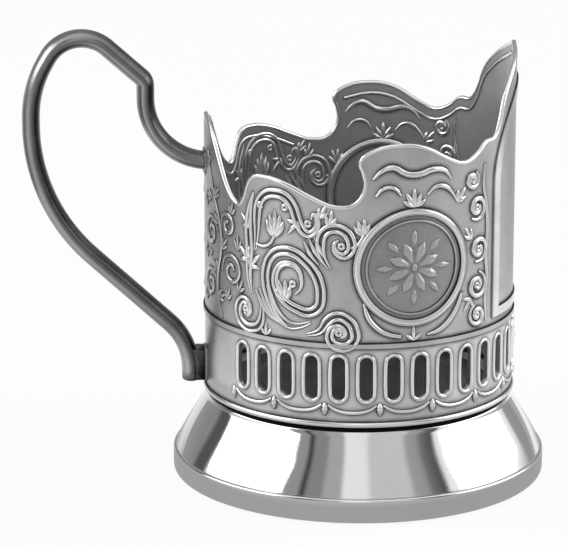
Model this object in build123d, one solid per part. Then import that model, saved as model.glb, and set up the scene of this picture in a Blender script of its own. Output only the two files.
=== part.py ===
from build123d import *
import os
from math import cos, radians, sin, tan

# Tea glass holder: a rolled, pierced band with a crowned rim, soldered on a spun foot,
# with a floor for the glass and a cast loop handle. Millimetres and degrees.
# Z is up from the table and the handle points along -X. Angles round the band start at the
# handle, and the holder is mirrored about the XZ plane.

# Driving dimensions: band
glass_bore = 68.0
band_sheet = 0.9
band_flange = 4.5
band_bend_radius = 0.6
relief = 0.4
seam_gap = 0.4

# Driving dimensions: rim of the band, as angle and height above the band's lower edge.
# The first line runs from the handle's peak to the lip of the step, the second from there
# over the round shoulder to the tall point opposite the handle.
rim_handle_side = [
    (0, 63.2), (8, 62.3), (14, 60.5), (19, 57.2), (23, 53.8), (26, 51.2), (29, 49.1),
    (32.4, 47.6), (35.5, 47.1), (38, 48.5), (40, 51.6), (42.5, 53.9), (47, 54.6),
    (58, 53.5), (68, 51.0), (77, 49.3), (83.5, 50.2), (87, 53.8), (86.3, 57.2), (85.2, 59.3),
]
rim_far_side = [
    (85.2, 59.3), (89, 61.5), (100, 62.8), (109, 61.9), (118, 59.1), (126, 57.5),
    (133, 59.0), (138, 61.1), (143, 61.3), (147, 63.9), (151.5, 69.4), (157, 72.5),
    (166, 75.6), (180, 78.6),
]

# Driving dimensions: piercing and raised frames on the band
slot_first = 38.0
slot_pitch = 9.94
slots_each_side = 14
slot_width = 2.8
slot_length = 9.8
slot_base = 6.2
border_height = 18.6
border_width = 1.0
medallion_angle = 104.6
medallion_height = 35.9
medallion_radius = 13.1
medallion_frame = 1.4
shield_half_width = 21.6
shield_base = 20.8
shield_side_top = 51.0
shield_apex = 72.0
shield_frame = 2.0

# Driving dimensions: foot and floor
foot_height = 18.8
foot_sheet = 0.9
foot_radius = 42.3
plinth_height = 5.8
plinth_step = 0.6
plinth_edge_radius = 1.2
skirt_ogee = 0.3
shoulder_setback = 0.3
shoulder_radius = 0.7
foot_flange = 7.0
foot_hem = 3.0
floor_sheet = 0.9
floor_setback = 1.0
floor_step = 0.9
floor_play = 0.3
foot_solder_width = 0.5

# Driving dimensions: handle. Reach is out from the joint face on the band. The upper end stands
# above the band's lower edge, and the elbow, thumb rest, crest, shoulder and bow follow in turn.
strap_thickness = 4.0
strap_width = 7.0
upper_end_height = 52.6
elbow_rise = 0.9
elbow_radius = 14.3
thumb_reach = 12.7
thumb_rise = 17.4
thumb_radius = 2.4
crest_reach = 29.0
crest_rise = 14.5
shoulder_drop = 16.0
bow_reach = 38.2
bow_drop = 26.4
lower_end_reach = 3.1
lower_end_height = 2.0
lower_end_length = 8.7
lower_bend_radius = 14.6
lower_pad_width = 5.6
lower_pad_height = 7.0
solder_film = 0.3
solder_margin = 0.4
solder_corner = 1.0

# Share of the shorter run beside it that each of the three wide bends takes up
crest_bend = 0.57
shoulder_bend = 0.36
bow_bend = 0.68

# Sizes that follow from those above
bore_radius = glass_bore / 2
band_outer = bore_radius + band_sheet
band_base = foot_height + floor_sheet
ledge_radius = bore_radius - band_flange
joint_radius = band_outer + solder_film
rim_top = max(height for angle, height in rim_handle_side + rim_far_side)
cut_reach = 4.0


def ring_point(radius, angle, height):
    """Point at an angle from the handle, on the +Y side."""
    return (-radius * cos(radians(angle)), radius * sin(radians(angle)), height)


def tube(inner, outer, low, high):
    """Plain upright tube."""
    length = high - low
    upright = (Align.CENTER, Align.CENTER, Align.MIN)
    return Pos(0, 0, low) * (Cylinder(outer, length, align=upright) - Cylinder(inner, length, align=upright))


def inside_wall(angle, height):
    """Plane just inside the wall that looks out at an angle from the handle, with its Y up."""
    x, y, z = ring_point(1, angle, 0)
    origin = ring_point(bore_radius - cut_reach, angle, band_base + height)
    return Plane(origin=origin, x_dir=(-y, x, 0), z_dir=(x, y, 0))


def rim_face(outline, side):
    """Radial cutting face that follows one run of the rim, from inside the wall to outside."""
    edges = []
    for radius in (bore_radius - cut_reach, band_outer + cut_reach):
        points = [ring_point(radius, side * angle, band_base + height) for angle, height in outline]
        edges.append(Edge.make_spline([Vector(*point) for point in points]))
    return Face.make_surface_from_curves(*edges)


def plain_tube():
    """Rolled wall with a ledge turned in at its lower edge, before its rim is cut."""
    top = band_base + rim_top + cut_reach
    with BuildSketch(Plane.XZ) as section:
        with BuildLine():
            Polyline((-bore_radius, top), (-bore_radius, band_base + band_sheet),
                     (-ledge_radius, band_base + band_sheet), (-ledge_radius, band_base),
                     (-band_outer, band_base), (-band_outer, top), close=True)
        make_face()
        fillet(section.vertices().group_by(Axis.Y)[0].sort_by(Axis.X)[0], band_bend_radius)
    return revolve(section.sketch, axis=Axis.Z)


def slot_cutters():
    """Round-ended slots in two runs round the band, with plain bars at the handle and opposite it."""
    cutters = []
    for index in range(slots_each_side):
        for side in (1, -1):
            plane = inside_wall(side * (slot_first + index * slot_pitch), slot_base + slot_length / 2)
            with BuildSketch(plane) as slot:
                SlotOverall(slot_length, slot_width, rotation=90)
            cutters.append(extrude(slot.sketch, amount=band_sheet + 2 * cut_reach))
    return cutters


def raised_frames():
    """Border bead above the slots, both medallion rings and the frame of the plain shield."""
    layer = tube(bore_radius + band_sheet / 2, band_outer + relief, band_base, band_base + rim_top)
    low = band_base + border_height - border_width / 2
    frames = [tube(bore_radius + band_sheet / 2, band_outer + relief, low, low + border_width)]
    reach = band_sheet + 2 * cut_reach
    for angle in (medallion_angle, -medallion_angle):
        with BuildSketch(inside_wall(angle, medallion_height)) as ring:
            Circle(medallion_radius)
            Circle(medallion_radius - medallion_frame, mode=Mode.SUBTRACT)
        frames.append(extrude(ring.sketch, amount=reach) & layer)
    with BuildSketch(inside_wall(180, 0)) as shield:
        with BuildLine():
            corner = (shield_half_width, shield_side_top)
            Polyline((-shield_half_width, shield_side_top), (-shield_half_width, shield_base),
                     (shield_half_width, shield_base), corner)
            apex = (0, shield_apex)
            TangentArc(corner, apex, tangent=(0, 1))
            TangentArc((-shield_half_width, shield_side_top), apex, tangent=(0, 1))
        make_face()
        offset(amount=-shield_frame, mode=Mode.SUBTRACT)
    frames.append(extrude(shield.sketch, amount=reach, both=True) & layer)
    return frames


def make_band():
    """Pierced and framed band, split along its seam, and the solder that closes the seam."""
    whole = plain_tube() - slot_cutters() + raised_frames()
    runs = [rim_face(run, side) for run in (rim_handle_side, rim_far_side) for side in (1, -1)]
    whole = whole.solid().split(Shell(runs), Keep.ALL).sort_by(lambda piece: piece.bounding_box().min.Z)[0]
    seam_cut = Pos(-band_outer, 0, band_base) * Box(
        2 * (band_outer - ledge_radius) + cut_reach, seam_gap, 2 * (rim_top + cut_reach))
    return whole - seam_cut, whole & seam_cut


def make_foot():
    """Spun foot: ledge under the floor, ogee skirt, upright plinth and a turned-in hem."""
    neck = band_outer - shoulder_setback
    skirt_top = (neck, foot_height - shoulder_radius)
    skirt_foot = (foot_radius - plinth_step, plinth_height)
    skirt_middle = ((skirt_top[0] + skirt_foot[0]) / 2, (skirt_top[1] + skirt_foot[1]) / 2)
    upright = (foot_radius, plinth_height - plinth_step)
    edge_start = (foot_radius, plinth_edge_radius)
    hem_start = (foot_radius - plinth_edge_radius, 0)
    with BuildSketch(Plane.XZ) as section:
        with BuildLine():
            Line((neck - foot_flange, foot_height), (neck - shoulder_radius, foot_height))
            TangentArc((neck - shoulder_radius, foot_height), skirt_top, tangent=(1, 0))
            SagittaArc(skirt_top, skirt_middle, -skirt_ogee)
            SagittaArc(skirt_middle, skirt_foot, skirt_ogee)
            TangentArc(skirt_foot, upright, tangent=(1, 0))
            Line(upright, edge_start)
            TangentArc(edge_start, hem_start, tangent=(0, -1))
            Line(hem_start, (hem_start[0] - foot_hem, 0))
            offset(amount=foot_sheet, side=Side.RIGHT)
        make_face()
    return revolve(section.sketch, axis=Axis.Z)


def make_floor():
    """Pressed disc between foot and band, with a raised centre inside the band's ledge."""
    edge = bore_radius - floor_setback + band_sheet
    step = ledge_radius - floor_play
    low = foot_height
    high = foot_height + floor_sheet
    with BuildSketch(Plane.XZ) as section:
        with BuildLine():
            Polyline((0, low + floor_step), (step - floor_sheet, low + floor_step),
                     (step - floor_sheet, low), (edge, low), (edge, high), (step, high),
                     (step, high + floor_step), (0, high + floor_step), close=True)
        make_face()
    return revolve(section.sketch, axis=Axis.Z)


def make_foot_solder():
    """Solder ring in the groove round the floor, between foot and band."""
    inner = bore_radius - floor_setback + band_sheet
    return tube(inner, inner + foot_solder_width, foot_height, band_base)


def outward(reach, height):
    """Point in the handle's plane, at a reach out from its joint face on the band."""
    return (-(joint_radius + reach), 0, band_base + height)


def wide_bend(before, corner, after, share):
    """Radius of the bend that takes up a share of the shorter of the two runs at a corner."""
    to_before = Vector(*before) - Vector(*corner)
    to_after = Vector(*after) - Vector(*corner)
    run = share * min(to_before.length, to_after.length)
    return run * tan(radians(to_before.get_angle(to_after)) / 2)


def make_handle():
    """Cast strap of oval section, cut to the band at its upper end and padded at its lower end."""
    elbow_height = upper_end_height + elbow_rise
    thumb_height = elbow_height + thumb_rise
    crest_height = thumb_height + crest_rise
    shoulder_height = crest_height - shoulder_drop
    lower_end = outward(lower_end_reach, lower_end_height)
    lower_bend = outward(lower_end_reach, lower_end_height + lower_end_length)
    bow = outward(bow_reach, shoulder_height - bow_drop)
    shoulder = outward(bow_reach, shoulder_height)
    crest = outward(crest_reach, crest_height)
    thumb = outward(thumb_reach, thumb_height)
    elbow = outward(thumb_reach, elbow_height)
    upper_end = Vector(*outward(0, upper_end_height))
    run_in = (upper_end - Vector(*elbow)).normalized() * cut_reach
    path = FilletPolyline(
        lower_end, lower_bend, bow, shoulder, crest, thumb, elbow, upper_end + run_in,
        radius=[lower_bend_radius, wide_bend(lower_bend, bow, shoulder, bow_bend),
                wide_bend(bow, shoulder, crest, shoulder_bend),
                wide_bend(shoulder, crest, thumb, crest_bend), thumb_radius, elbow_radius])
    with BuildSketch(Plane(origin=lower_end, x_dir=(1, 0, 0), z_dir=(0, 0, 1))) as section:
        Ellipse(strap_thickness / 2, strap_width / 2)
    strap = sweep(section.sketch, path=path)
    pad = Pos(-joint_radius, 0, band_base + lower_end_height) * Box(
        2 * lower_end_reach, lower_pad_width, lower_pad_height,
        align=(Align.CENTER, Align.CENTER, Align.MIN))
    return strap + pad - Cylinder(joint_radius, 2 * (band_base + rim_top))


def joint_solder(end_width, low, high):
    """Solder film between one end of the handle and the band, a little wider than the end."""
    height = high - low + 2 * solder_margin
    width = end_width + 2 * solder_margin
    with BuildSketch(inside_wall(0, (low + high) / 2)) as outline:
        RectangleRounded(width, height, solder_corner)
    film = tube(band_outer, joint_radius, band_base, band_base + rim_top)
    return extrude(outline.sketch, amount=band_sheet + 2 * cut_reach) & film


body_band, seam_solder = make_band()
upper_end_low = upper_end_height - strap_thickness / 2
upper_end_high = upper_end_height + strap_thickness / 2
pad_high = lower_end_height + lower_pad_height
nodes = {
    "body_band": body_band,
    "seam_solder": seam_solder,
    "floor_plate": make_floor(),
    "foot": make_foot(),
    "foot_solder": make_foot_solder(),
    "handle": make_handle(),
    "upper_handle_solder": joint_solder(strap_width, upper_end_low, upper_end_high),
    "lower_handle_solder": joint_solder(lower_pad_width, lower_end_height, pad_high),
}

os.makedirs("parts", exist_ok=True)
for name, shape in nodes.items():
    export_step(shape, f"parts/{name}.step")
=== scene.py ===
from math import cos, degrees, pi, radians, sin

import bmesh
import bpy
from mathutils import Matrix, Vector


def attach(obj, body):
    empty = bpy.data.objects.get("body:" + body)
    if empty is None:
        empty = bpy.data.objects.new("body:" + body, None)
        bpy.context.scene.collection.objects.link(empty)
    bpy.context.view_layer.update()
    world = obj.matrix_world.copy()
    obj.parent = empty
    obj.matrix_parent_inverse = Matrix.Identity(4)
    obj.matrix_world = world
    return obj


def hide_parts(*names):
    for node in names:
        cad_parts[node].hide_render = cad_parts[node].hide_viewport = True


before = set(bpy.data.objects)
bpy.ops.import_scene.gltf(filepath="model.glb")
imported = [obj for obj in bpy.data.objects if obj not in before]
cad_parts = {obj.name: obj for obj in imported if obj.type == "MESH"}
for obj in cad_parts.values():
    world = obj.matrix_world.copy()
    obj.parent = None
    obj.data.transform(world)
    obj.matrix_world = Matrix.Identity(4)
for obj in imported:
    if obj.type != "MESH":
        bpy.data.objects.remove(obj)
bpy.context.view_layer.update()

# Foot: a bell spun from nickel silver sheet, with a narrow ledge on top, a flared skirt, an upright
# plinth and a hem turned in underneath. Polished to a mirror on a buffing wheel, which leaves faint
# rings.
MM = 0.001
foot_sheet = 0.9
foot_top = 18.8
foot_radius = 42.3
neck_radius = 34.6
ledge_edge = 27.6
shoulder_round = 0.7
skirt_swell = 0.25
plinth_top = 5.8
plinth_middle = 3.2
plinth_step = 0.6
groove_height = 0.2
groove_depth = 0.15
edge_round = 1.2
hem_edge = 38.1


class Tone:
    """A shader socket, so that sums and products of sockets can be written as such."""

    def __init__(self, socket):
        self.socket = socket
        self.tree = socket.id_data

    def node(self, kind, settings=None, inputs=None, output=0):
        """Adds a node to the same shader and gives one of its outputs."""
        made = self.tree.nodes.new("ShaderNode" + kind)
        for key, value in (settings or {}).items():
            if key == "stops":
                ramp = made.color_ramp.elements
                while len(ramp) < len(value):
                    ramp.new(1.0)
                for stop, (position, grey) in zip(ramp, value):
                    stop.position = position
                    stop.color = (grey, grey, grey, 1)
            else:
                setattr(made, key, value)
        for key, value in (inputs or {}).items():
            if isinstance(value, Tone):
                self.tree.links.new(value.socket, made.inputs[key])
            else:
                made.inputs[key].default_value = value
        return Tone(made.outputs[output])

    def out(self, name):
        return Tone(self.socket.node.outputs[name])

    def math(self, operation, first, second=0.0):
        return self.node("Math", {"operation": operation}, {0: first, 1: second})

    def __add__(self, other):
        return self.math("ADD", self, other)

    def __sub__(self, other):
        return self.math("SUBTRACT", self, other)

    def __rsub__(self, other):
        return self.math("SUBTRACT", other, self)

    def __mul__(self, other):
        return self.math("MULTIPLY", self, other)

    def __truediv__(self, other):
        return self.math("DIVIDE", self, other)

    def __pow__(self, other):
        return self.math("POWER", self, other)

    def __lt__(self, other):
        return self.math("LESS_THAN", self, other)

    __radd__ = __add__
    __rmul__ = __mul__

    def clamp(self):
        return self.node("Clamp", None, {"Value": self})

    def mix(self, first, second):
        """One colour where this is 0 and another where it is 1."""
        return self.node("Mix", {"data_type": "RGBA"}, {0: self, 6: first, 7: second}, output=2)

    def between(self, low, high):
        """A grey metal colour between two levels."""
        return self.mix((low, low, low * 0.99, 1), (high, high, high * 0.99, 1))


def height_of(place):
    """Height of a place above the table."""
    return place.node("SeparateXYZ", None, {"Vector": place}, output="Z")


def noise(place, scale, detail, roughness=0.5):
    """A cloudy pattern laid out by the place on the piece."""
    pattern = {"Vector": place, "Scale": scale, "Detail": detail, "Roughness": roughness}
    return place.node("TexNoise", None, pattern)


def tool_marks(along, detail):
    """Rings left by a wheel or a lathe, which follow one measure alone."""
    return along.node("TexNoise", {"noise_dimensions": "1D"}, {"W": along, "Detail": detail})


def bump(pattern, strength, depth):
    """Fine relief that follows a pattern."""
    return pattern.node("Bump", None, {"Strength": strength, "Distance": depth, "Height": pattern})


def new_finish(name):
    """A metal and the place on the piece that its pattern is laid out by."""
    metal = bpy.data.materials.new(name)
    metal.use_nodes = True
    coordinates = metal.node_tree.nodes.new("ShaderNodeTexCoord")
    metal.node_tree.nodes["Principled BSDF"].inputs["Metallic"].default_value = 1.0
    return metal, Tone(coordinates.outputs["Object"])


def set_finish(metal, **sockets):
    """Sets the named inputs of a metal, each to a number, a colour or a pattern."""
    shader = metal.node_tree.nodes["Principled BSDF"]
    for name, value in sockets.items():
        socket = shader.inputs[name.replace("_", " ")]
        if isinstance(value, Tone):
            metal.node_tree.links.new(value.socket, socket)
        else:
            socket.default_value = value


def add_piece(name, shape, metal, slot, *stands_for, crease=32):
    """Turns a bmesh into a piece of the holder with its metal."""
    mesh = bpy.data.meshes.new(name)
    shape.to_mesh(mesh)
    shape.free()
    mesh.materials.append(metal)
    mesh.shade_smooth()
    mesh.set_sharp_from_angle(angle=radians(crease))
    piece = bpy.data.objects.new(name, mesh)
    bpy.context.scene.collection.objects.link(piece)
    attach(piece, "root")
    if stands_for:
        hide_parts(*stands_for)
    return piece


def rounded(radius, height, size, first, last):
    """A round corner of a profile, every 15 degrees from one direction down to another."""
    turns = [radians(turn) for turn in range(first, last - 1, -15)]
    return [(radius + size * cos(turn), height + size * sin(turn)) for turn in turns]


def spun(points, steps, weld, closed=False):
    """A profile turned right round the upright axis, with its joins welded."""
    shape = bmesh.new()
    corners = [shape.verts.new(point) for point in points]
    ends = corners[1:] + corners[:1] if closed else corners[1:]
    edges = [shape.edges.new(pair) for pair in zip(corners, ends)]
    bmesh.ops.spin(shape, geom=corners + edges, cent=(0, 0, 0), axis=(0, 0, 1), angle=2 * pi,
                   steps=steps, use_merge=True)
    bmesh.ops.remove_doubles(shape, verts=shape.verts, dist=weld)
    return shape


neck_flat = neck_radius - shoulder_round
profile = [(ledge_edge, foot_top), (neck_flat, foot_top)]
profile += rounded(neck_flat, foot_top - shoulder_round, shoulder_round, 75, 15)
skirt_top = Vector((neck_radius, foot_top - shoulder_round))
skirt_foot = Vector((foot_radius - plinth_step, plinth_top))
run = skirt_foot - skirt_top
outward = Vector((-run.y, run.x)).normalized()
for step in range(25):
    share = step / 24
    point = skirt_top + run * share + outward * skirt_swell * sin(pi * share) * share
    profile.append((point.x, point.y))
groove_foot = plinth_top - groove_height
plinth_side = groove_foot - plinth_step
profile.append((skirt_foot.x - groove_depth, groove_foot))
profile += rounded(foot_radius - plinth_step, plinth_side, plinth_step, 75, 15)
profile += [(foot_radius, plinth_side), (foot_radius, plinth_middle)]
profile += rounded(foot_radius - edge_round, edge_round, edge_round, 0, -90)
inner_side = foot_radius - foot_sheet
inner_neck = neck_radius - foot_sheet
under_ledge = foot_top - foot_sheet
profile += [
    (hem_edge, 0.0), (hem_edge, foot_sheet), (inner_side - 0.8, foot_sheet), (inner_side, 1.6),
    (inner_side, plinth_side), (inner_side - 0.7, groove_foot), (inner_neck, under_ledge - 0.3),
    (inner_neck - 0.3, under_ledge), (ledge_edge, under_ledge),
]
shape = spun([(-radius * MM, 0, height * MM) for radius, height in profile], 180, 1e-6, closed=True)
bmesh.ops.recalc_face_normals(shape, faces=shape.faces)

mirror, place = new_finish("mirror_nickel_silver")
smudge = noise(place, 60.0, 4.0, 0.6)
specks = noise(place, 900.0, 2.0)
rings = tool_marks(height_of(place) * 9000.0, 3.0)
dulled = (smudge - 0.45).clamp() * 2.0
worn = ((specks - 0.66) * 6.0).clamp()
set_finish(
    mirror,
    Base_Color=(dulled * 0.5 + worn * 0.5).between(0.80, 0.62),
    Roughness=0.045 + dulled * 0.07 + worn * 0.12,
    Normal=bump(rings, 0.02, 0.05 * MM))
add_piece("foot_polished", shape, mirror, "foot_metal", "foot")

# Solder: thin films of tin solder under the handle's ends and along the band's seam, greyed by age,
# and the ring that closes the groove between foot, floor and band, painted near black as the shadow
# in that groove.
def show_solid(name, metal):
    """Gives a piece that is shown as its own solid its metal."""
    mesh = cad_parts[name].data
    mesh.materials.clear()
    mesh.materials.append(metal)


for finish, darkest, lightest, smoothest, spread, joints in (
        ("solder", 0.30, 0.52, 0.34, 0.25,
         ("seam_solder", "upper_handle_solder", "lower_handle_solder")),
        # The groove ring's near black is painted shadow in the groove under the band.
        ("groove_shadow_solder", 0.004, 0.02, 0.6, 0.3, ("foot_solder",))):
    metal, place = new_finish(finish)
    lumps = noise(place, 700.0, 3.0)
    set_finish(
        metal,
        Base_Color=lumps.between(darkest, lightest),
        Roughness=smoothest + lumps * spread,
        Normal=bump(lumps, 0.35, 0.2 * MM))
    for name in joints:
        show_solid(name, metal)

# Floor plate: a pressed disc of nickel silver with a raised centre that the glass stands on, faced
# on a lathe and held between the band's ledge and the foot. Its colour is kept very dark as painted
# shade inside the holder, seen through the slots, and glasses keep one ring of it rubbed lighter.
rubbed_radius = 24.0
rubbed_width = 1.6


def from_axis(place):
    """Distance of a place from the holder's axis."""
    split = place.node("SeparateXYZ", None, {"Vector": place})
    return (split * split + split.out("Y") * split.out("Y")) ** 0.5


turned, place = new_finish("turned_nickel_silver_painted_dark")
radius = from_axis(place)
grooves = tool_marks(radius * 2600.0, 3.0)
passes = tool_marks(radius * 600.0, 2.0)
scuffs = noise(place, 160.0, 6.0, 0.7)
off_ring = place.math("ABSOLUTE", radius - rubbed_radius * MM) / (rubbed_width * MM)
lightened = (1 - off_ring).clamp()
dulled = (0.34 + (passes - 0.5) * 1.4 + (scuffs - 0.5) * 1.2 + lightened * 0.3).clamp()
set_finish(
    turned,
    # Very dark levels: painted shade inside the holder, with the lathe passes, scuffs and rubbed
    # ring.
    Base_Color=dulled.between(0.015, 0.22),
    Roughness=0.30 + scuffs * 0.25,
    Normal=bump(grooves, 0.25, 0.1 * MM))
show_solid("floor_plate", turned)

# Band: nickel silver sheet, pierced, pressed and cut to its wavy crowned rim, then rolled to a
# sleeve and soldered along its seam. A satin ground, grey in the hollows, with the raised frames
# rubbed brighter, a painted highlight on the strip round the slots and painted shade on the inner
# wall.
band_outer = 34.9
bore_radius = 34.0
frames_radius = 35.15
frames_low = 40.0
bars_low = 24.0
bars_high = 38.0


def solid_of(name):
    """The mesh of a piece's own solid, with its faces joined."""
    shape = bmesh.new()
    shape.from_mesh(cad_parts[name].data)
    bmesh.ops.remove_doubles(shape, verts=shape.verts, dist=2e-6)
    return shape


def shelter(place, reach):
    """How deep a place lies in a hollow, from 0 in the open to 1."""
    return 1 - place.node("AmbientOcclusion", {"samples": 6}, {"Distance": reach}, output=1)


satin, place = new_finish("satin_silver")
radius = from_axis(place)
height = height_of(place)
clouds = noise(place, 110.0, 5.0, 0.62)
grain = noise(place, 2600.0, 2.0)
hollow = ((shelter(place, 1.1 * MM) - 0.04) * 10.0).clamp()
raised = (1 - (radius < frames_radius * MM)) * (1 - (height < frames_low * MM))
inside = radius < (bore_radius + 0.5) * MM
over_bars_low = ((height - bars_low * MM) * 800.0).clamp()
under_bars_high = ((bars_high * MM - height) * 800.0).clamp()
painted_bar_highlight = (1 - inside) * under_bars_high * over_bars_low
tarnish = 0.34 + hollow * 0.66 + (clouds - 0.5) * 0.5
# Painted light: the strip round the slots is painted lighter as a highlight, and the inner wall a
# little darker as shade.
tarnish = (tarnish - raised * 0.24 - painted_bar_highlight * 0.16 + inside * 0.04).clamp()
set_finish(
    satin,
    Base_Color=tarnish.between(0.90, 0.06),
    Roughness=0.27 + clouds * 0.12 + tarnish * 0.2 - raised * 0.12,
    Normal=bump(grain, 0.12, 0.08 * MM))
band = add_piece("band_pierced", solid_of("body_band"), satin, "band_metal", "body_band")

# The wall is shaded straight out from the axis, so that it looks rolled and not faceted
rolled = []
for face in band.data.polygons:
    for corner in face.vertices:
        spot = band.data.vertices[corner].co
        straight_out = Vector((spot.x, spot.y, 0)).normalized()
        facing = face.normal.dot(straight_out)
        on_wall = abs(facing) > 0.9
        rolled.append(straight_out * (1 if facing > 0 else -1) if on_wall else face.normal)
band.data.normals_split_custom_set(rolled)

# Rim bead: the cut edge of the band's sheet, filed round and rubbed bright all the way along, from
# the peak at the handle, over the two shoulders, to the tall point opposite.
def add_other_side(shape):
    """Adds the same shape on the other side of the plane through the handle."""
    whole = shape.verts[:] + shape.edges[:] + shape.faces[:]
    copy = bmesh.ops.duplicate(shape, geom=whole)["geom"]
    verts = [part for part in copy if isinstance(part, bmesh.types.BMVert)]
    bmesh.ops.scale(shape, vec=(1, -1, 1), verts=verts)


def lay(name, strokes, radius, sink, lift, facing):
    """Round lines drawn flat as angle and height, then flattened and laid round the band."""
    drawing = bpy.data.curves.new(name, "CURVE")
    drawing.dimensions = "3D"
    drawing.bevel_depth = 1.0
    drawing.bevel_resolution = 2
    drawing.resolution_u = 3
    drawing.use_fill_caps = True
    for points, widths in strokes:
        line = drawing.splines.new("BEZIER")
        line.bezier_points.add(len(points) - 1)
        for index, (angle, height) in enumerate(points):
            along = index / (len(points) - 1) * (len(widths) - 1)
            before = min(int(along), len(widths) - 2)
            width = widths[before] + (widths[before + 1] - widths[before]) * (along - before)
            line.bezier_points[index].co = (radians(angle) * radius, height, 0)
            line.bezier_points[index].radius = width / 2
        for point in line.bezier_points:
            point.handle_left_type = point.handle_right_type = "AUTO"
    flat = bpy.data.objects.new(name, drawing)
    bpy.context.scene.collection.objects.link(flat)
    bpy.context.view_layer.update()
    drawn = flat.evaluated_get(bpy.context.evaluated_depsgraph_get())
    solid = bpy.data.meshes.new_from_object(drawn)
    bpy.data.objects.remove(flat)
    shape = bmesh.new()
    shape.from_mesh(solid)
    for vert in shape.verts:
        angle = vert.co.x / radius
        reach = radius + facing * (vert.co.z * lift - sink)
        vert.co = (-reach * cos(angle) * MM, -reach * sin(angle) * MM, vert.co.y * MM)
    touching = 1e-7
    meeting = [face for face in shape.faces
               if all(abs(vert.co.y) < touching for vert in face.verts)]
    bmesh.ops.delete(shape, geom=meeting, context="FACES")
    add_other_side(shape)
    bmesh.ops.remove_doubles(shape, verts=shape.verts, dist=touching)
    bmesh.ops.recalc_face_normals(shape, faces=shape.faces)
    return shape


def add_relief(name, strokes, metal, radius, sink, lift, facing=1):
    """Lines that stand out from both sides of the band, or into its bore where facing is -1."""
    shape = lay(name, strokes, radius, sink, lift, facing)
    add_piece(name, shape, metal, "band_metal", crease=70)


bright, place = new_finish("rubbed_silver")
clouds = noise(place, 180.0, 5.0, 0.62)
hollow = ((shelter(place, 0.9 * MM) - 0.25) * 2.4).clamp()
tarnish = (hollow * 0.9 + (clouds - 0.54) * 0.5).clamp()
set_finish(
    bright,
    Base_Color=tarnish.between(0.92, 0.08),
    Roughness=0.15 + clouds * 0.10 + tarnish * 0.2)
rim_line = [
    (0, 82.9), (8, 82.0), (14, 80.2), (19, 76.9), (23, 73.5), (26, 70.9), (29, 68.8), (32.4, 67.3),
    (35.5, 66.8), (38, 68.2), (40, 71.3), (42.5, 73.6), (47, 74.3), (58, 73.2), (68, 70.7),
    (77, 69.0), (83.5, 69.9), (87, 73.5), (86.3, 76.9), (85.2, 79.0), (89, 81.2), (100, 82.5),
    (109, 81.6), (118, 78.8), (126, 77.2), (133, 78.7), (138, 80.8), (143, 81.0), (147, 83.6),
    (151.5, 89.1), (157, 92.2), (166, 95.3), (180, 98.3),
]
add_relief("rim_bead", [(rim_line, (1.1, 1.1))], bright, (band_outer + bore_radius) / 2, 0.0, 1.0)

# Scrollwork: hollowed scrolls with two bright edges, buds, ribbons and sprays of lobed leaves,
# pressed into the band's sheet from inside and chased. A softer copy of it stands on the inner wall,
# with the backs of the medallions' rings.
medallion_angle = 104.6
medallion_height = 55.6


def twin(points, gap):
    """The two edges of a hollowed stem that runs along a line and closes at both ends."""
    edges = []
    last = len(points) - 1
    for side in (-0.5, 0.5):
        edge = []
        for index, (angle, height) in enumerate(points):
            before = points[max(index - 1, 0)]
            after = points[min(index + 1, last)]
            along = radians(after[0] - before[0]) * band_outer
            flow = Vector((along, after[1] - before[1])).normalized()
            open_by = side * gap * min(1.0, 2.5 * (1 - index / last), 0.3 + 0.35 * index)
            across = degrees(flow.y * open_by / band_outer)
            edge.append((angle - across, height + flow.x * open_by))
        edges.append(edge)
    return edges


def scroll(angle, height, size, start, turns, hand):
    """A line that winds in to a point, as angle and height."""
    points = []
    steps = int(turns * 9)
    for step in range(steps + 1):
        share = step / steps
        reach = size * (1 - 0.80 * share)
        turn = radians(start + hand * 360 * turns * share)
        across = degrees(reach * cos(turn) / band_outer)
        points.append((angle + across, height + reach * sin(turn)))
    return points


def lobe(angle, height, length, direction, curl=0):
    """The middle line of one lobe of a leaf, from its root round to its tip."""
    points = [(angle, height)]
    for step in range(4):
        turn = radians(direction + curl * (step + 0.5) / 4)
        angle += degrees(length / 4 * cos(turn) / band_outer)
        height += length / 4 * sin(turn)
        points.append((angle, height))
    return points


def spray(angle, height, length, first, last, count, curl):
    """Lobes that spread from one root, the outer ones shorter and more bent."""
    lobes = []
    for number in range(count):
        share = number / (count - 1)
        aside = 2 * share - 1
        direction = first + (last - first) * share
        lobes.append(lobe(angle, height, length * (1 - 0.3 * abs(aside)), direction, curl * aside))
    return lobes


def ring(angle, height, size, first=0.0, last=360.0, steps=24):
    """A circle, or a part of one, as angle and height."""
    points = []
    for step in range(steps + 1):
        turn = radians(first + (last - first) * step / steps)
        across = degrees(size * cos(turn) / band_outer)
        points.append((angle + across, height + size * sin(turn)))
    return points


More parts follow.
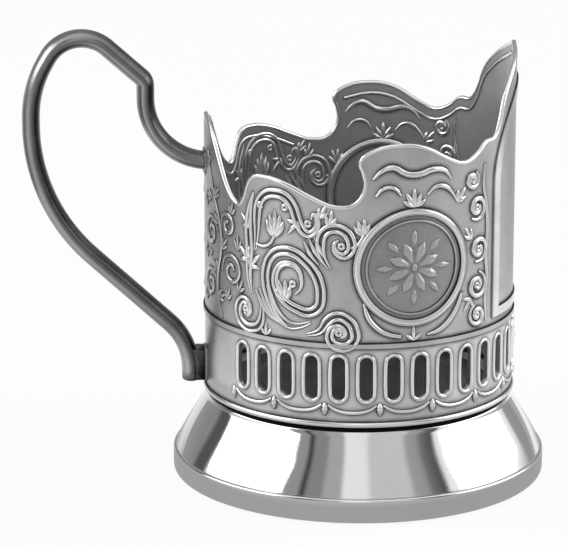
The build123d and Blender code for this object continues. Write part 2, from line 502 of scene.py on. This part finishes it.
stem_edge = (0.35, 0.95, 1.0, 1.0, 1.0, 0.95, 0.5)
stem = (0.6, 1.2, 1.3, 1.2, 1.0)
ribbon = (0.5, 1.2, 0.5)
tendril = (0.5, 1.0, 0.8)
bud = (0.8, 0.8)
leaf = (0.6, 1.3, 1.6, 1.3, 0.4)
stem_gap = 1.45
hollowed_stems = [
    [(44.4, 57.6), (45.2, 61.6), (45.4, 65.6), (46.4, 68.6), (49.2, 70.5), (53.6, 71.2),
     (57.8, 70.6), (60.6, 68.8), (62.2, 66.2), (64.0, 64.0), (66.8, 62.9), (69.2, 64.0),
     (69.9, 66.2), (68.6, 67.4), (67.4, 66.2)],
    [(67.4, 43.2), (63.4, 42.2), (58.6, 42.2), (54.4, 44.2), (51.2, 47.4), (49.4, 50.8),
     (49.5, 54.2), (52.0, 57.2), (56.9, 58.7), (61.4, 58.4), (65.2, 56.9), (68.4, 54.9),
     (70.6, 52.3), (71.2, 49.2), (70.2, 46.6), (67.0, 45.4), (62.4, 45.9), (57.4, 47.4),
     (54.2, 49.8), (53.4, 52.8), (55.6, 55.2), (59.4, 55.9), (62.6, 55.0), (64.0, 52.8),
     (63.6, 50.6), (61.6, 49.2)],
    [(74.4, 55.4), (72.0, 57.8), (71.0, 60.8), (72.0, 63.3), (75.2, 64.5), (79.2, 64.1),
     (81.8, 62.2), (81.9, 59.8), (79.6, 58.5), (76.9, 59.2), (76.0, 61.0), (77.6, 62.0)],
    [(66.2, 40.4), (70.6, 41.2), (73.6, 43.7), (77.2, 45.0), (80.9, 44.2), (83.4, 41.9),
     (83.4, 39.7), (81.3, 38.3), (77.7, 38.1), (74.9, 39.3), (74.7, 41.4), (76.9, 42.5),
     (79.5, 41.9), (79.8, 40.5), (78.3, 40.2)],
    [(47.4, 46.4), (47.6, 43.4), (46.4, 41.0), (43.2, 39.9), (38.8, 40.1), (35.8, 42.0),
     (36.2, 44.8), (39.4, 45.8), (41.6, 44.2), (40.8, 42.5), (39.0, 42.9)],
    [(42.6, 47.6), (41.4, 52.2), (41.8, 57.4), (41.2, 62.4), (42.0, 67.0), (43.6, 70.6)],
]
scroll_lines = []
for points in hollowed_stems:
    scroll_lines += [(line, stem_edge) for line in twin(points, stem_gap)]
for number in range(4):
    blade = [(44.6 + 1.7 * number, 48.9 + 0.5 * number), (47.6 + 1.5 * number, 46.0 + 0.2 * number),
             (51.4 + 1.2 * number, 43.6), (55.6 + 1.0 * number, 42.2 - 0.2 * number)]
    scroll_lines.append((blade, (0.4, 1.0, 1.0, 0.4)))
for number in range(3):
    blade = [(64.8 + 1.9 * number, 61.4 + 0.6 * number), (67.0 + 1.9 * number, 58.8 + 0.5 * number),
             (70.4 + 1.6 * number, 56.2 + 0.4 * number)]
    scroll_lines.append((blade, (0.4, 1.1, 0.4)))
for angle, height in ((46.9, 68.0), (57.4, 68.3), (66.4, 65.2), (78.6, 60.6), (77.8, 41.2),
                      (39.6, 43.9), (60.6, 51.4)):
    scroll_lines.append((ring(angle, height, 0.55, steps=8), bud))

# The column between the medallion and the plain shield, and the ribbons round the medallion
for angle, height, size, start, hand in (
        (133.0, 57.4, 3.0, 250, 1), (132.4, 49.2, 3.2, 80, -1), (132.8, 42.4, 2.6, 110, 1),
        (132.0, 66.8, 2.9, 230, 1), (129.4, 73.2, 2.1, 60, -1)):
    scroll_lines.append((scroll(angle, height, size, start, 1.5, hand), stem))
    scroll_lines.append((ring(angle, height, 0.5, steps=8), bud))
scroll_lines += [
    ([(138.2, 40.4), (137.2, 45.6), (138.0, 51.0), (137.2, 56.4), (138.2, 62.0), (137.0, 67.4),
      (135.4, 72.0), (136.2, 76.2)], (0.5, 1.0, 1.1, 1.0, 0.5)),
    ([(86.6, 48.0), (88.2, 44.8), (91.2, 42.4), (95.2, 40.9), (100.0, 40.2)], stem),
    ([(110.0, 40.2), (114.6, 40.8), (118.8, 42.6), (122.4, 45.4), (124.6, 48.4)], stem),
    ([(89.6, 75.4), (92.6, 77.2), (96.6, 78.0), (101.6, 76.4), (106.6, 76.2), (111.6, 77.0),
      (116.6, 76.4), (119.4, 74.4)], (0.5, 1.3, 1.5, 1.5, 1.3, 0.5)),
    ([(90.6, 71.6), (93.4, 73.4), (97.2, 73.4), (99.8, 71.6)], ribbon),
    ([(109.6, 71.4), (112.4, 73.0), (116.2, 73.0), (119.6, 71.4), (122.0, 69.2)], ribbon),
    ([(44.9, 59.2), (48.2, 58.9), (51.2, 59.8), (53.2, 61.8)], tendril),
    ([(81.9, 60.2), (84.4, 61.0), (86.6, 63.2)], tendril),
]
leaf_lobes = []
full_leaf = 5.4
for angle, height, length, first, last, count, curl in (
        (53.2, 61.4, 6.2, 40, 140, 5, -40), (57.4, 47.4, 5.4, 50, 150, 4, -40),
        (86.4, 63.0, 4.2, 50, 150, 4, -30), (62.6, 65.4, 3.8, 190, 270, 3, 30),
        (74.2, 64.8, 3.8, 40, 120, 3, -30), (41.5, 53.6, 4.4, 15, 75, 3, 30),
        (41.5, 55.0, 4.6, 105, 170, 3, 30), (41.6, 62.4, 3.8, 100, 165, 3, 30),
        (70.4, 66.6, 3.4, 20, 100, 3, -30), (104.6, 69.0, 4.2, 20, 160, 5, -20),
        (122.0, 69.0, 3.8, 10, 90, 3, -20), (129.2, 60.0, 3.4, 80, 170, 3, -30),
        (129.2, 46.6, 3.4, 190, 280, 3, 30), (49.4, 38.9, 3.2, 40, 140, 3, -20),
        (104.8, 39.2, 3.2, 30, 150, 3, -20)):
    slim = [width * min(1.0, length / full_leaf) for width in leaf]
    leaf_lobes += [(line, slim) for line in spray(angle, height, length, first, last, count, curl)]
add_relief("scroll_lines", scroll_lines, bright, band_outer, 0.05, 1.1)
add_relief("scroll_leaves", leaf_lobes, bright, band_outer, 0.02, 0.65)
inner_lines = scroll_lines + leaf_lobes
for run in (rim_line[:15], rim_line[20:]):
    inner_lines.append(([(angle, height - 2.4) for angle, height in run], (0.9, 0.9)))
inner_lines.append((ring(medallion_angle, medallion_height, 12.8, steps=40), (1.9, 1.9)))
add_relief("inner_relief", inner_lines, bright, bore_radius, 0.08, 0.6, facing=-1)

# Vine beside the handle: a climbing stem with curls and leaves, pressed into the band's sheet so low
# that a hand on the handle does not feel it, and left with the satin of the ground.
vine = [
    ([(25.0, 39.8), (22.0, 44.0), (21.6, 49.6), (24.4, 55.0), (23.6, 60.6), (19.0, 66.0),
      (14.6, 71.0), (9.6, 76.0)], stem),
    (scroll(14.6, 46.4, 3.8, 0, 1.5, 1), stem),
    (scroll(31.6, 51.4, 4.0, 190, 1.5, -1), stem),
    (scroll(15.6, 58.4, 3.8, 10, 1.5, 1), stem),
    (scroll(29.0, 61.4, 3.0, 200, 1.4, -1), stem),
]
small_leaf = [width * 0.75 for width in leaf]
for angle, height, length, first, last, count in (
        (22.0, 44.2, 3.8, -20, 60, 3), (22.0, 50.2, 3.8, 110, 190, 3), (24.4, 55.6, 3.8, 10, 80, 3),
        (23.0, 61.2, 3.8, 110, 190, 3), (18.6, 66.6, 3.6, 10, 80, 3), (12.6, 73.2, 3.2, 60, 140, 3),
        (35.6, 56.4, 4.0, 60, 130, 3), (28.6, 44.4, 3.4, 30, 110, 3), (9.6, 51.6, 3.6, 60, 130, 3),
        (9.2, 63.4, 3.6, 50, 130, 3), (31.4, 64.0, 3.2, 40, 120, 3), (8.4, 41.8, 3.0, 40, 130, 3),
        (35.8, 47.2, 3.4, 20, 110, 3), (15.6, 66.0, 3.2, 130, 210, 3),
        (14.4, 52.6, 2.8, 50, 120, 2)):
    vine += [(line, small_leaf) for line in spray(angle, height, length, first, last, count, -20)]
add_relief("handle_vine", vine, satin, band_outer, 0.02, 0.6)

# Rims of the slots, the swag with drops under them and a small flower opposite the handle: raised in
# the band's sheet by the punch that pierced the slots and by a hand punch, and rubbed bright.
slot_first = 38.0
slot_pitch = 9.94
slot_count = 14
slot_low = 27.3
slot_high = 34.3
slot_middle = (slot_low + slot_high) / 2
rim_round = 1.8
punched = []
for number in range(slot_count):
    angle = slot_first + number * slot_pitch
    up = ring(angle, slot_high, rim_round, 0, 180, 8)
    down = ring(angle, slot_low, rim_round, 180, 360, 8)
    punched.append((up + down + up[:1], (0.9, 0.9)))
swag_count = slot_count // 2
for number in range(swag_count + 1):
    angle = slot_first - slot_pitch / 2 + 2 * number * slot_pitch
    punched.append((lobe(angle, 25.4, 3.0, 270), (0.4, 1.2, 1.6, 1.2, 0.4)))
    swag = [(angle + 1.2, 24.8), (angle + slot_pitch * 0.4, 23.7), (angle + slot_pitch, 23.1),
            (angle + slot_pitch * 1.6, 23.7), (angle + 2 * slot_pitch - 1.2, 24.8)]
    if number < swag_count:
        punched.append((swag, (0.6, 0.9, 0.9, 0.6)))
punched.append((lobe(180, slot_middle - 0.7, 1.4, 90), (0.0, 1.2, 1.4, 1.2, 0.0)))
for direction, length in ((90, 4.4), (270, 4.4), (180, 3.0), (135, 2.6), (225, 2.6)):
    start = lobe(180, slot_middle, 0.8, direction)[-1]
    punched.append((lobe(*start, length, direction), (0.0, 1.5, 1.9, 1.4, 0.0)))
add_relief("slot_rims", punched, bright, band_outer, 0.02, 0.9)

# Beads of the band: a thin one round its lower edge and one on the ring of each medallion, rolled
# into the band's sheet and polished.
edge_bead_height = 20.4
medallion_bead = 12.4
bead = (1.2, 1.2)
polished, place = new_finish("polished_silver")
scratches = noise(place, 420.0, 6.0, 0.7)
hollow = ((shelter(place, 0.8 * MM) - 0.3) * 2.0).clamp()
tarnish = (hollow + (scratches - 0.6) * 0.6).clamp()
set_finish(
    polished,
    Base_Color=tarnish.between(0.94, 0.12),
    Roughness=0.14 + scratches * 0.14)
beads = [
    ([(angle, edge_bead_height) for angle in range(0, 181, 6)], bead),
    (ring(medallion_angle, medallion_height, medallion_bead, steps=40), bead),
]
add_relief("frame_beads", beads, polished, band_outer, -0.2, 0.6)

# Medallions: a shallow dome pressed out of the band's sheet inside each ring and matted with a fine
# punch, with a rosette of eight petals and eight leaves raised in its middle and rubbed a little
# lighter.
field_radius = 11.7
field_back = -0.2
profile = [(0.0, 0.55), (3.0, 0.52), (6.0, 0.42), (9.0, 0.25), (field_radius, 0.04),
           (field_radius, field_back), (0.0, field_back)]
shape = spun([(reach, 0, rise) for reach, rise in profile], 64, 1e-5)
for vert in shape.verts:
    angle = radians(medallion_angle) + vert.co.x / band_outer
    reach = band_outer + vert.co.z
    upward = medallion_height + vert.co.y
    vert.co = (-reach * cos(angle) * MM, -reach * sin(angle) * MM, upward * MM)
add_other_side(shape)
bmesh.ops.recalc_face_normals(shape, faces=shape.faces)
matted = []
for finish, lightest in (("matted_silver", 0.46), ("rubbed_matt_silver", 0.64)):
    metal, place = new_finish(finish)
    clouds = noise(place, 150.0, 5.0, 0.62)
    punch = place.node("TexVoronoi", None, {"Vector": place, "Scale": 1900.0})
    hollow = ((shelter(place, 1.6 * MM) - 0.05) * 3.5).clamp()
    tarnish = (hollow * 0.8 + (clouds - 0.4) * 0.5 + punch * 0.15).clamp()
    set_finish(
        metal,
        Base_Color=tarnish.between(lightest, 0.08),
        Roughness=0.36 + clouds * 0.1,
        Normal=bump(punch, 0.3, 0.1 * MM))
    matted.append(metal)
add_piece("medallion_fields", shape, matted[0], "band_metal")
rosette = [(ring(medallion_angle, medallion_height, 10.4), (0.5, 0.5))]
for number in range(8):
    direction = 22.5 + 45 * number
    start = lobe(medallion_angle, medallion_height, 1.4, direction)[-1]
    rosette.append((lobe(*start, 4.6, direction), (0.9, 1.9, 2.5, 2.0, 0.4)))
    direction += 22.5
    start = lobe(medallion_angle, medallion_height, 4.8, direction)[-1]
    rosette.append((lobe(*start, 3.6, direction), (0.3, 1.2, 1.5, 1.1, 0.2)))
rosette.append((lobe(medallion_angle - 1.0, medallion_height, 1.2, 0), (1.5, 2.2, 2.2, 1.5)))
add_relief("rosettes", rosette, matted[1], band_outer, -0.35, 0.5)

# Handle: a strap cast in nickel silver, bent to a loop with a thumb rest and soldered to the band at
# both ends. Its outer and upper sides are painted lighter and the side that faces the band darker,
# as painted light and shade.
dark, place = new_finish("dark_silver")
clouds = noise(place, 140.0, 5.0, 0.6)
grain = noise(place, 1500.0, 3.0)
palm = place.node("Attribute", {"attribute_name": "palm"}, output="Fac")
lightened = (palm + (clouds - 0.5) * 0.5).clamp()
set_finish(
    dark,
    Base_Color=lightened.between(0.05, 0.46),
    Roughness=0.20 + clouds * 0.14,
    Normal=bump(grain, 0.08, 0.1 * MM))
strap = add_piece("handle_strap", solid_of("handle"), dark, "handle_metal", "handle")
painted_light_layer = strap.data.attributes.new("palm", "FLOAT", "POINT")
# Painted light: the more a point faces outward and up, the lighter it is painted.
for vert in strap.data.vertices:
    toward_light = 0.5 - 0.7 * vert.normal.x + 0.2 * vert.normal.z
    painted_light_layer.data[vert.index].value = max(0.0, min(1.0, toward_light))

# Stage: a white table in a studio with two wide soft boxes at the sides and grey screens in front,
# which a polished foot shows as broad white and grey stripes.
table_drop = 0.1
foot_shade = 55.0
near_screens = 165.0
screen_blur = 30.0
white = (1, 1, 1, 1)


def bearing_of(place):
    """Bearing of a point or a direction from the holder, from 0 to 1 with the front at 0.5."""
    split = place.node("SeparateXYZ", None, {"Vector": place})
    return place.math("ARCTAN2", split, 0 - split.out("Y")) / (2 * pi) + 0.5


def screens(place, levels):
    """Greys of the studio by bearing in degrees."""
    stops = [(angle / 360 + 0.5, grey) for angle, grey in levels]
    return place.node("ValToRGB", {"stops": stops}, {"Fac": bearing_of(place)})


shape = bmesh.new()
bmesh.ops.create_grid(shape, x_segments=1, y_segments=1, size=4.0)
bmesh.ops.translate(shape, vec=(0, 0, -table_drop * MM), verts=shape.verts)
mesh = bpy.data.meshes.new("table")
shape.to_mesh(mesh)
shape.free()
table = bpy.data.objects.new("table", mesh)
bpy.context.scene.collection.objects.link(table)
paper, place = new_finish("paper")
set_finish(paper, Base_Color=(0.9, 0.9, 0.9, 1), Roughness=0.9, Metallic=0.0)
reach = from_axis(place)
far = screens(place, [
    (-180, 1.0), (-150, 0.8), (-125, 0.22), (-100, 0.28), (-88, 0.53), (-76, 0.76), (-45, 0.79),
    (-28, 0.59), (0, 0.54), (40, 0.51), (60, 0.62), (100, 0.52), (106, 1.0), (115, 1.0),
    (118, 0.42), (142, 0.45), (160, 1.0), (180, 1.0)])
close = screens(place, [
    (-180, 1.0), (-150, 0.9), (-125, 0.7), (-100, 0.65), (-82, 1.0), (-52, 1.0), (-36, 0.74),
    (0, 0.66), (40, 0.66), (56, 0.9), (135, 1.0), (180, 1.0)])
around = ((reach - near_screens * MM) * screen_blur).clamp().mix(close, far)
away = ((reach - foot_shade * MM) * screen_blur).clamp()
# Glossy rays see a painted reflection on the table: grey screens by bearing, and a painted shadow of
# 0.42 grey near the foot.
painted_reflection = away.mix((0.42, 0.42, 0.42, 1), around)
lit = Tone(paper.node_tree.nodes["Principled BSDF"].outputs[0])
lamp_white = place.node("Emission", None, {"Color": white, "Strength": 1.0})
painted_reflection_glow = place.node("Emission", None, {"Color": painted_reflection, "Strength": 1.0})
ray = place.node("LightPath", output="Is Camera Ray")
seen = place.node("MixShader", None, {0: ray * 0.9, 1: lit, 2: lamp_white})
seen = place.node("MixShader", None, {0: ray.out("Is Glossy Ray"), 1: seen, 2: painted_reflection_glow})
surface = paper.node_tree.nodes["Material Output"].inputs["Surface"]
paper.node_tree.links.new(seen.socket, surface)
mesh.materials.append(paper)

world = bpy.data.worlds.new("studio")
bpy.context.scene.world = world
world.use_nodes = True
backdrop = world.node_tree.nodes["Background"]
direction = Tone(world.node_tree.nodes.new("ShaderNodeTexCoord").outputs["Generated"])
upward = height_of(direction)
walls = screens(direction, [
    (-180, 0.32), (-150, 0.28), (-130, 0.28), (-126, 0.10), (-117, 0.10), (-114, 1.0), (-58, 1.0),
    (-56, 0.33), (-46, 0.33), (-44, 0.06), (-42, 0.06), (-40, 0.27), (-30, 0.27), (-28, 0.44),
    (-17, 0.44), (-15, 0.93), (2, 0.93), (4, 0.65), (32, 0.65), (34, 0.40), (43, 0.36), (46, 0.20),
    (56, 0.07), (58, 1.0), (126, 1.0), (129, 0.38), (145, 0.34), (180, 0.32)])
wall_foot = [(0.0, 0.0), (0.05, 0.0), (0.15, 1.0)]
wall_top = [(0.0, 0.0), (0.80, 0.0), (0.92, 1.0)]
low = direction.node("ValToRGB", {"stops": wall_foot}, {"Fac": upward})
high = direction.node("ValToRGB", {"stops": wall_top}, {"Fac": upward})
room = high.mix(low.mix((0.34, 0.34, 0.34, 1), walls), white)
room = direction.node("LightPath", output="Is Camera Ray").mix(room, white)
world.node_tree.links.new(room.socket, backdrop.inputs["Color"])

lamp_aim = Vector((0, 0, 0.05))
for name, spot in (("soft_box_left", Vector((-1.04, -0.07, 0.60))),
                   ("soft_box_right", Vector((1.09, 0.06, 0.51)))):
    lamp = bpy.data.lights.new(name, "AREA")
    lamp.shape = "RECTANGLE"
    lamp.size = 1.2
    lamp.size_y = 0.6
    lamp.energy = 4.0
    holder = bpy.data.objects.new(name, lamp)
    holder.location = spot
    holder.rotation_euler = (lamp_aim - spot).to_track_quat("-Z", "Y").to_euler()
    bpy.context.scene.collection.objects.link(holder)

camera_spot = Vector((-0.0642, -0.7016, 0.2340))
camera_aim = Vector((-0.0170, 0.0, 0.0453))
lens = bpy.data.cameras.new("camera")
lens.sensor_width = 36.0
lens.lens = 203.8
camera = bpy.data.objects.new("camera", lens)
camera.location = camera_spot
camera.rotation_euler = (camera_aim - camera_spot).to_track_quat("-Z", "Y").to_euler()
bpy.context.scene.collection.objects.link(camera)
bpy.context.scene.camera = camera
bpy.context.scene.view_settings.view_transform = "Standard"
